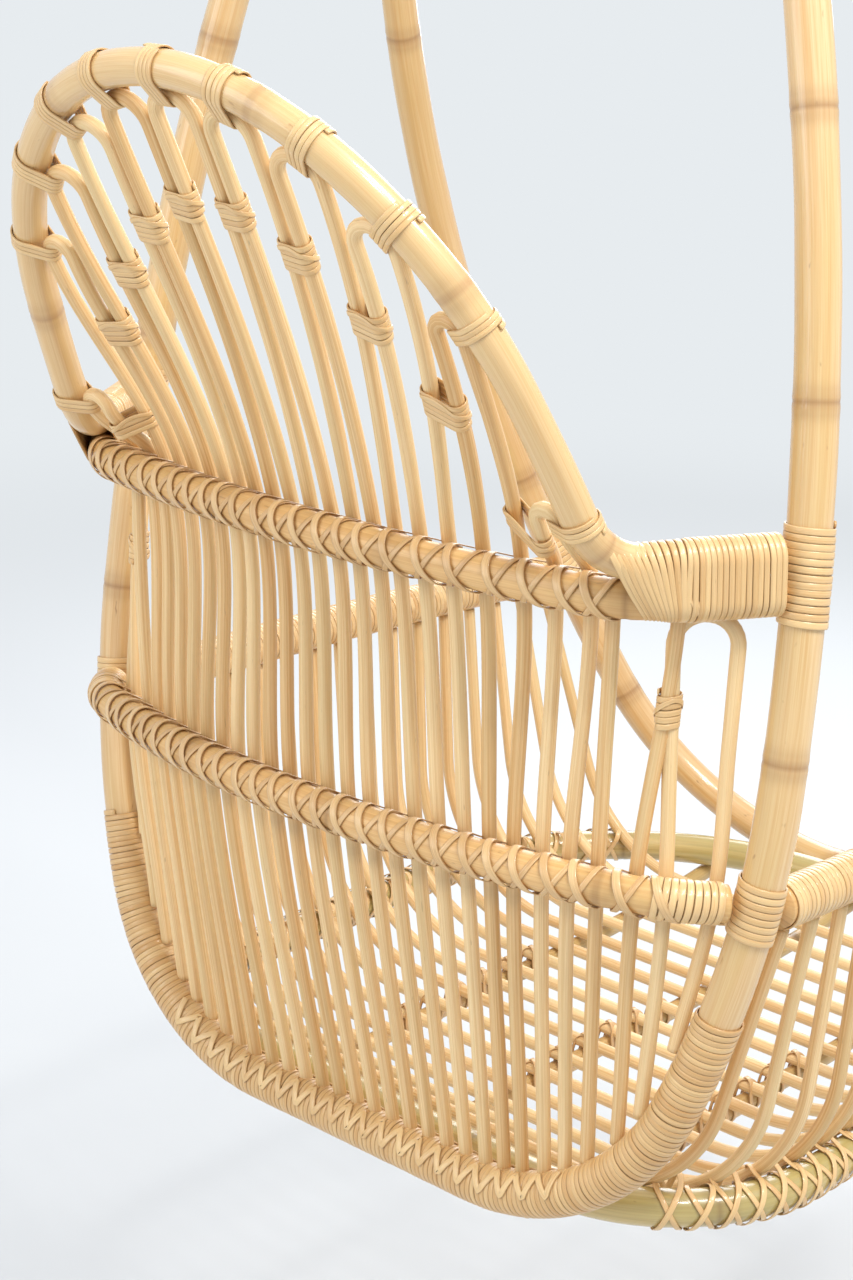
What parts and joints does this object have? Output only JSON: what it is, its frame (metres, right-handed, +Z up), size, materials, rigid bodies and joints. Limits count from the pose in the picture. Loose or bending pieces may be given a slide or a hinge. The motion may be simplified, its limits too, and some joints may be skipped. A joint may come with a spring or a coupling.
{
  "type": "hanging egg chair",
  "caption": "Hanging rattan egg chair: two bent hoops carry a cane basket seat with a spindle back, arm rims and a swivel hanger at the top",
  "frame": {"origin": "centre of the swivel eye bore that the chair hangs from", "axes": "+Z up along the swivel axis, the sitter faces -Y, +X is the sitter's left, units metres"},
  "size_m": [0.7898, 0.9407, 1.5135],
  "materials": {
    "hoop_rattan": "glossy lacquer over whole rattan pole",
    "arch_rattan": "glossy lacquer over whole rattan pole",
    "rail_rattan": "glossy lacquer over whole rattan pole",
    "ring_rattan": "glossy lacquer over skinned olive rattan pole",
    "runner_rattan": "satin lacquer over rattan pole",
    "peeled_cane": "satin lacquer over peeled rattan core",
    "pale_cane_binding": "semi-gloss split cane skin",
    "golden_cane_binding": "semi-gloss split cane skin",
    "bright_steel": "satin zinc-plated steel",
    "fastener_steel": "satin zinc-plated steel",
    "bracket_steel": "satin dark powder coat"
  },
  "bodies": {
    "swivel_eye": {"swivel_eye": "bright_steel"},
    "swivel_jaw": {"swivel_jaw": "bright_steel", "clevis_pin": "fastener_steel"},
    "chair": {"hanger_bracket": "bracket_steel", "through_bolt": "fastener_steel", "bolt_washers": "fastener_steel", "bolt_nut": "fastener_steel", "rear_hoop": "hoop_rattan", "front_hoop": "hoop_rattan", "back_arch": "arch_rattan", "upper_rail": "rail_rattan", "lower_rail": "rail_rattan", "left_arm_rim": "rail_rattan", "right_arm_rim": "rail_rattan", "base_ring": "ring_rattan", "left_seat_runner": "runner_rattan", "middle_seat_runner": "runner_rattan", "right_seat_runner": "runner_rattan", "rear_seat_rods": "peeled_cane", "rear_middle_seat_rods": "peeled_cane", "front_middle_seat_rods": "peeled_cane", "front_seat_rods": "peeled_cane", "left_back_spindles": "peeled_cane", "middle_back_spindles": "peeled_cane", "right_back_spindles": "peeled_cane", "left_joint_winding": "pale_cane_binding", "right_joint_winding": "pale_cane_binding", "upper_upright_wraps": "pale_cane_binding", "lower_upright_wraps": "pale_cane_binding", "lower_rail_end_wraps": "pale_cane_binding", "left_rim_wrap": "pale_cane_binding", "right_rim_wrap": "pale_cane_binding", "front_hoop_wraps": "pale_cane_binding", "hoop_bottom_wrap": "pale_cane_binding", "upper_rail_lashing": "golden_cane_binding", "lower_rail_lashing": "golden_cane_binding", "arch_ties": "pale_cane_binding", "spindle_bands": "pale_cane_binding", "ring_lashings": "pale_cane_binding", "runner_knots": "golden_cane_binding"}
  },
  "joints": [
    {"name": "chair_spin", "type": "hinge", "parent": "swivel_eye", "child": "swivel_jaw", "pos_m": [0, 0, -0.0405], "axis": [0, 0, 1], "continuous": true},
    {"name": "chair_swing", "type": "hinge", "parent": "swivel_jaw", "child": "chair", "pos_m": [0, 0, -0.0658], "axis": [1, 0, 0], "range_deg": [-20, 20]}
  ]
}
